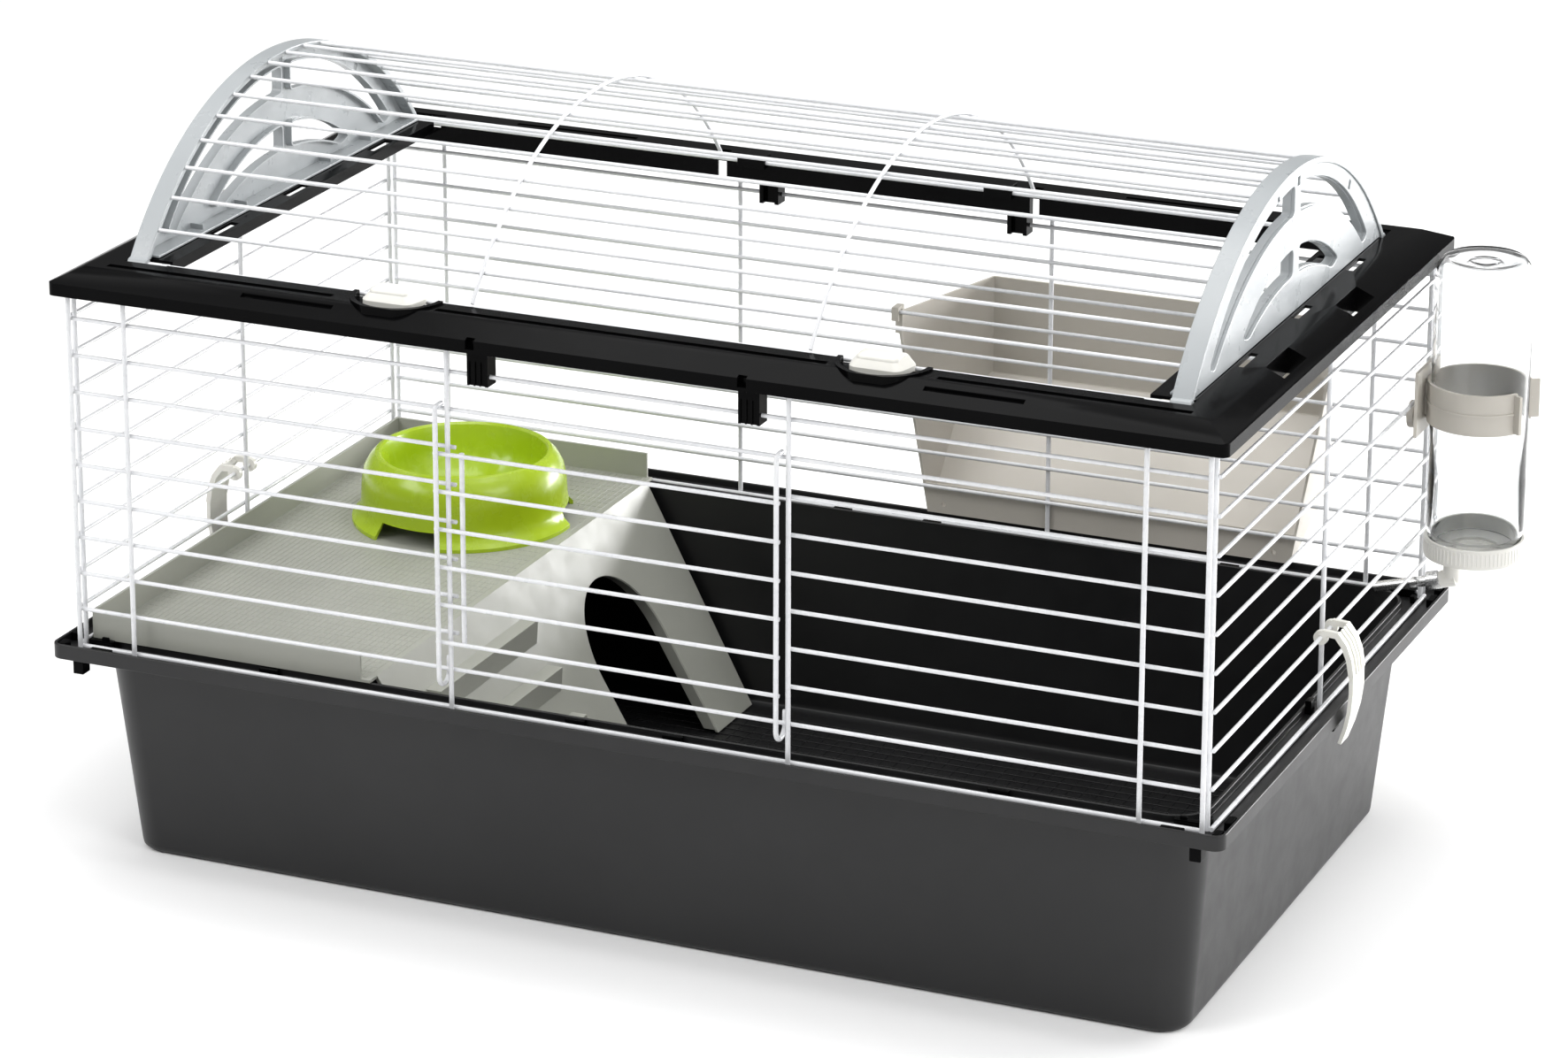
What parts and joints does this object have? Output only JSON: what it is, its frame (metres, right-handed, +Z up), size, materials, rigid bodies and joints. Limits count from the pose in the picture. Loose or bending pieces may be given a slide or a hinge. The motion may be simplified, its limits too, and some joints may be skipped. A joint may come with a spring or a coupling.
{
  "type": "wire rabbit cage",
  "caption": "Wire rabbit cage on a plastic tub, with a domed lift-up roof, drop-down front door, platform house, food bowl, hay feeder and water bottle.",
  "frame": {"origin": "middle of the tub's underside", "axes": "+X along the cage towards the water bottle, +Y from the front door to the back, +Z up"},
  "size_m": [1.0449, 0.681, 0.5997],
  "materials": {
    "tub_plastic": "fine matt texture",
    "black_plastic": "satin",
    "white_wire": "gloss coating",
    "grey_plastic": "satin",
    "cream_plastic": "satin",
    "green_plastic": "satin",
    "beige_plastic": "satin",
    "clear_plastic": "clear",
    "cap_plastic": "satin",
    "seal_rubber": "satin",
    "steel": "fine brushed"
  },
  "bodies": {
    "tub": {"tub": "tub_plastic", "rim_hooks": "black_plastic", "corner_tabs": "black_plastic"},
    "cage": {"top_frame": "black_plastic", "frame_clips_front": "black_plastic", "frame_clips_back": "black_plastic", "front_wires": "white_wire", "front_posts": "white_wire", "back_wires": "white_wire", "back_posts": "white_wire", "left_wires": "white_wire", "left_posts": "white_wire", "right_wires": "white_wire", "right_posts": "white_wire", "hinge_caps": "black_plastic", "bottle_cap": "cap_plastic", "cap_seal": "seal_rubber", "spout_nozzle": "cap_plastic", "spout_collar": "steel", "spout_tube": "steel", "bottle_ring": "beige_plastic", "ring_nut": "beige_plastic"},
    "roof": {"roof_front_rod": "white_wire", "roof_rear_rod": "white_wire", "roof_wires": "white_wire", "roof_hoops": "white_wire", "roof_end_left": "grey_plastic", "roof_end_right": "grey_plastic"},
    "latch_left": {"latch_left": "cream_plastic"},
    "latch_right": {"latch_right": "cream_plastic"},
    "front_door": {"door_grille": "white_wire", "door_rods": "white_wire"},
    "side_clip_left": {"side_clip_left": "cream_plastic"},
    "side_clip_right": {"side_clip_right": "cream_plastic"},
    "house": {"house": "cream_plastic"},
    "bowl": {"bowl": "green_plastic"},
    "hay_feeder": {"hay_feeder": "beige_plastic"},
    "bottle": {"bottle": "clear_plastic"},
    "spout_ball": {"spout_ball": "steel"}
  },
  "joints": [
    {"name": "cage_lift", "type": "slide", "parent": "tub", "child": "cage", "axis": [0, 0, 1], "range_m": [0, 0.25]},
    {"name": "roof_hinge", "type": "hinge", "parent": "cage", "child": "roof", "pos_m": [0, 0.2255, 0.4815], "axis": [-1, 0, 0], "range_deg": [0, 95]},
    {"name": "latch_left_turn", "type": "hinge", "parent": "roof", "child": "latch_left", "pos_m": [-0.197, -0.2255, 0.4815], "axis": [-1, 0, 0], "range_deg": [0, 75]},
    {"name": "latch_right_turn", "type": "hinge", "parent": "roof", "child": "latch_right", "pos_m": [0.197, -0.2255, 0.4815], "axis": [-1, 0, 0], "range_deg": [0, 75]},
    {"name": "front_door_hinge", "type": "hinge", "parent": "cage", "child": "front_door", "pos_m": [-0.0065, -0.265, 0.2082], "axis": [1, 0, 0], "range_deg": [0, 110]},
    {"name": "side_clip_left_turn", "type": "hinge", "parent": "cage", "child": "side_clip_left", "pos_m": [-0.464, 0.0176, 0.2377], "axis": [0, 1, 0], "range_deg": [0, 60]},
    {"name": "side_clip_right_turn", "type": "hinge", "parent": "cage", "child": "side_clip_right", "pos_m": [0.464, 0.0176, 0.2377], "axis": [0, -1, 0], "range_deg": [0, 60]},
    {"name": "house_lift", "type": "slide", "parent": "tub", "child": "house", "axis": [0, 0, 1], "range_m": [0, 0.15]},
    {"name": "bowl_lift", "type": "slide", "parent": "house", "child": "bowl", "axis": [0, 0, 1], "range_m": [0, 0.1]},
    {"name": "feeder_lift", "type": "slide", "parent": "cage", "child": "hay_feeder", "axis": [0, 0, 1], "range_m": [0, 0.01]},
    {"name": "bottle_unscrew", "type": "hinge", "parent": "cage", "child": "bottle", "pos_m": [0.512, 0.228, 0.36], "axis": [0, 0, 1], "range_deg": [0, 360]},
    {"name": "spout_ball_roll", "type": "hinge", "parent": "cage", "child": "spout_ball", "pos_m": [0.43649, 0.228, 0.19259], "axis": [0, 1, 0], "continuous": true}
  ]
}
